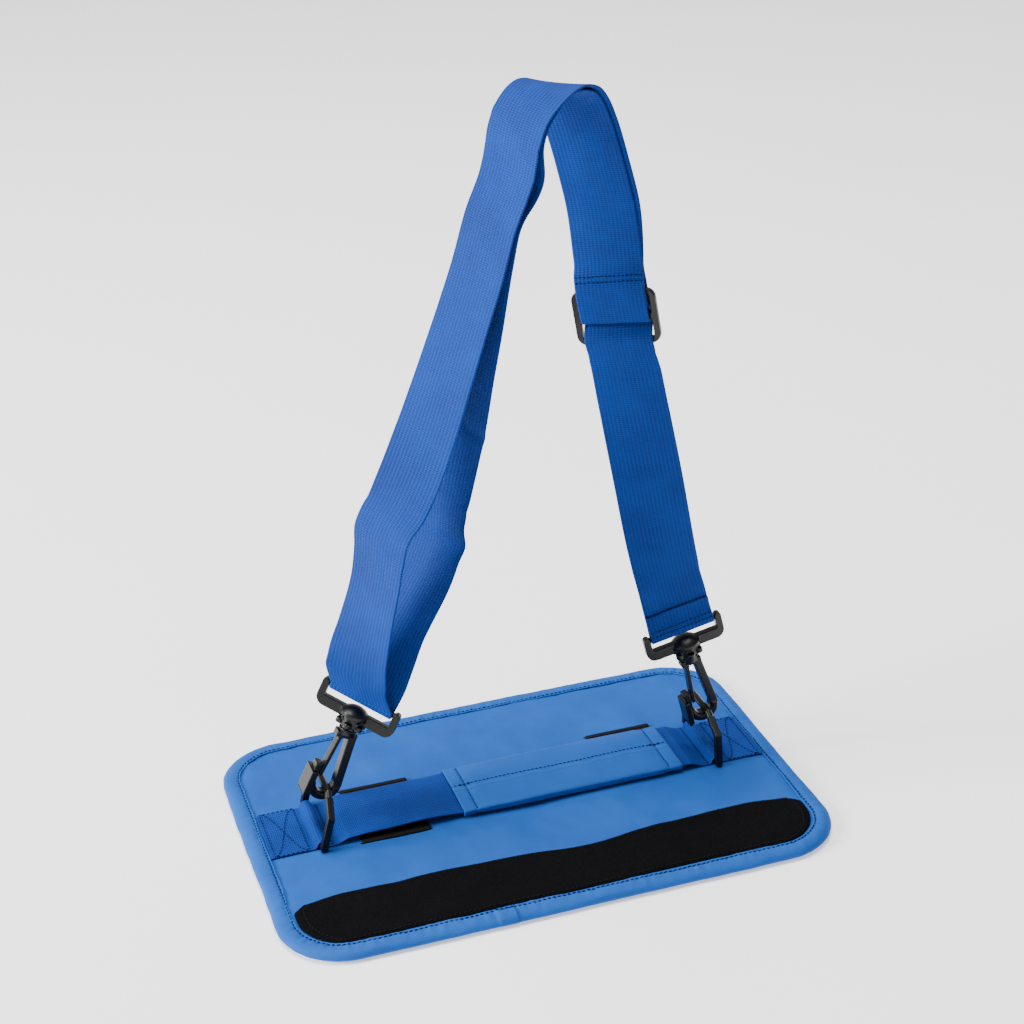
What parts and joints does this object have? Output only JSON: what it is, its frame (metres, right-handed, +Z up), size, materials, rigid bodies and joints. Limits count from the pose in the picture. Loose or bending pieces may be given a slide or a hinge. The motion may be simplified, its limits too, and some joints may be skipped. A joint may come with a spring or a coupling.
{
  "type": "wrap-round carry sleeve",
  "caption": "Padded fabric panel that wraps round a bundle and closes with hook-and-loop tape, with a grab handle and a clip-on shoulder strap.",
  "frame": {"origin": "centre of the panel at the surface that it lies on", "axes": "+X along the panel's long side towards the adjuster end, +Y from the closure strip to the back edge, +Z up along the standing shoulder strap"},
  "size_m": [0.35, 0.24, 0.4539],
  "materials": {
    "cover_fabric": "smooth coated nylon, low sheen",
    "webbing": "fine cross-ribbed woven webbing",
    "closure_tape": "matt brushed pile",
    "foam": "closed-cell foam sheet",
    "black_plastic": "moulded acetal, fine satin grain"
  },
  "bodies": {
    "panel": {"outer_cover": "cover_fabric", "lining": "cover_fabric", "foam_core": "foam", "edge_binding": "cover_fabric", "loop_strip": "closure_tape", "hook_strip": "closure_tape", "cinch_strap_left": "closure_tape", "cinch_strap_right": "closure_tape", "handle_webbing": "webbing"},
    "grip": {"grip_cover": "cover_fabric", "grip_foam": "foam"},
    "ring_left": {"ring_left": "black_plastic"},
    "ring_right": {"ring_right": "black_plastic"},
    "strap": {"shoulder_strap": "webbing", "tri_glide": "black_plastic", "swivel_loop_left": "black_plastic", "swivel_loop_right": "black_plastic"},
    "hook_left": {"hook_left": "black_plastic"},
    "hook_right": {"hook_right": "black_plastic"},
    "gate_left": {"gate_left": "black_plastic"},
    "gate_right": {"gate_right": "black_plastic"}
  },
  "joints": [
    {"name": "strap_fold", "type": "hinge", "parent": "panel", "child": "strap", "pos_m": [0, 0.012, 0.03772], "axis": [1, 0, 0], "range_deg": [-12, 12]},
    {"name": "ring_left_flip", "type": "hinge", "parent": "panel", "child": "ring_left", "pos_m": [-0.1305, 0.012, 0.0077], "axis": [0, 1, 0], "range_deg": [-1.5, 1.5]},
    {"name": "ring_right_flip", "type": "hinge", "parent": "panel", "child": "ring_right", "pos_m": [0.1305, 0.012, 0.0077], "axis": [0, 1, 0], "range_deg": [-1.5, 1.5]},
    {"name": "swivel_left", "type": "hinge", "parent": "strap", "child": "hook_left", "pos_m": [-0.10097, 0.012, 0.07746], "axis": [0.4695, 0, 0.8829], "range_deg": [-20, 20]},
    {"name": "swivel_right", "type": "hinge", "parent": "strap", "child": "hook_right", "pos_m": [0.11931, 0.012, 0.08157], "axis": [-0.225, 0, 0.9744], "range_deg": [-20, 20]},
    {"name": "gate_left_open", "type": "hinge", "parent": "hook_left", "child": "gate_left", "pos_m": [-0.1096, 0.012, 0.06846], "axis": [0, -1, 0], "range_deg": [0, 14], "stiffness_Nm_per_rad": 0.02},
    {"name": "gate_right_open", "type": "hinge", "parent": "hook_right", "child": "gate_right", "pos_m": [0.1187, 0.012, 0.06911], "axis": [0, -1, 0], "range_deg": [0, 14], "stiffness_Nm_per_rad": 0.02},
    {"name": "grip_slide", "type": "slide", "parent": "panel", "child": "grip", "axis": [1, 0, 0], "range_m": [-0.07, 0.004]}
  ]
}
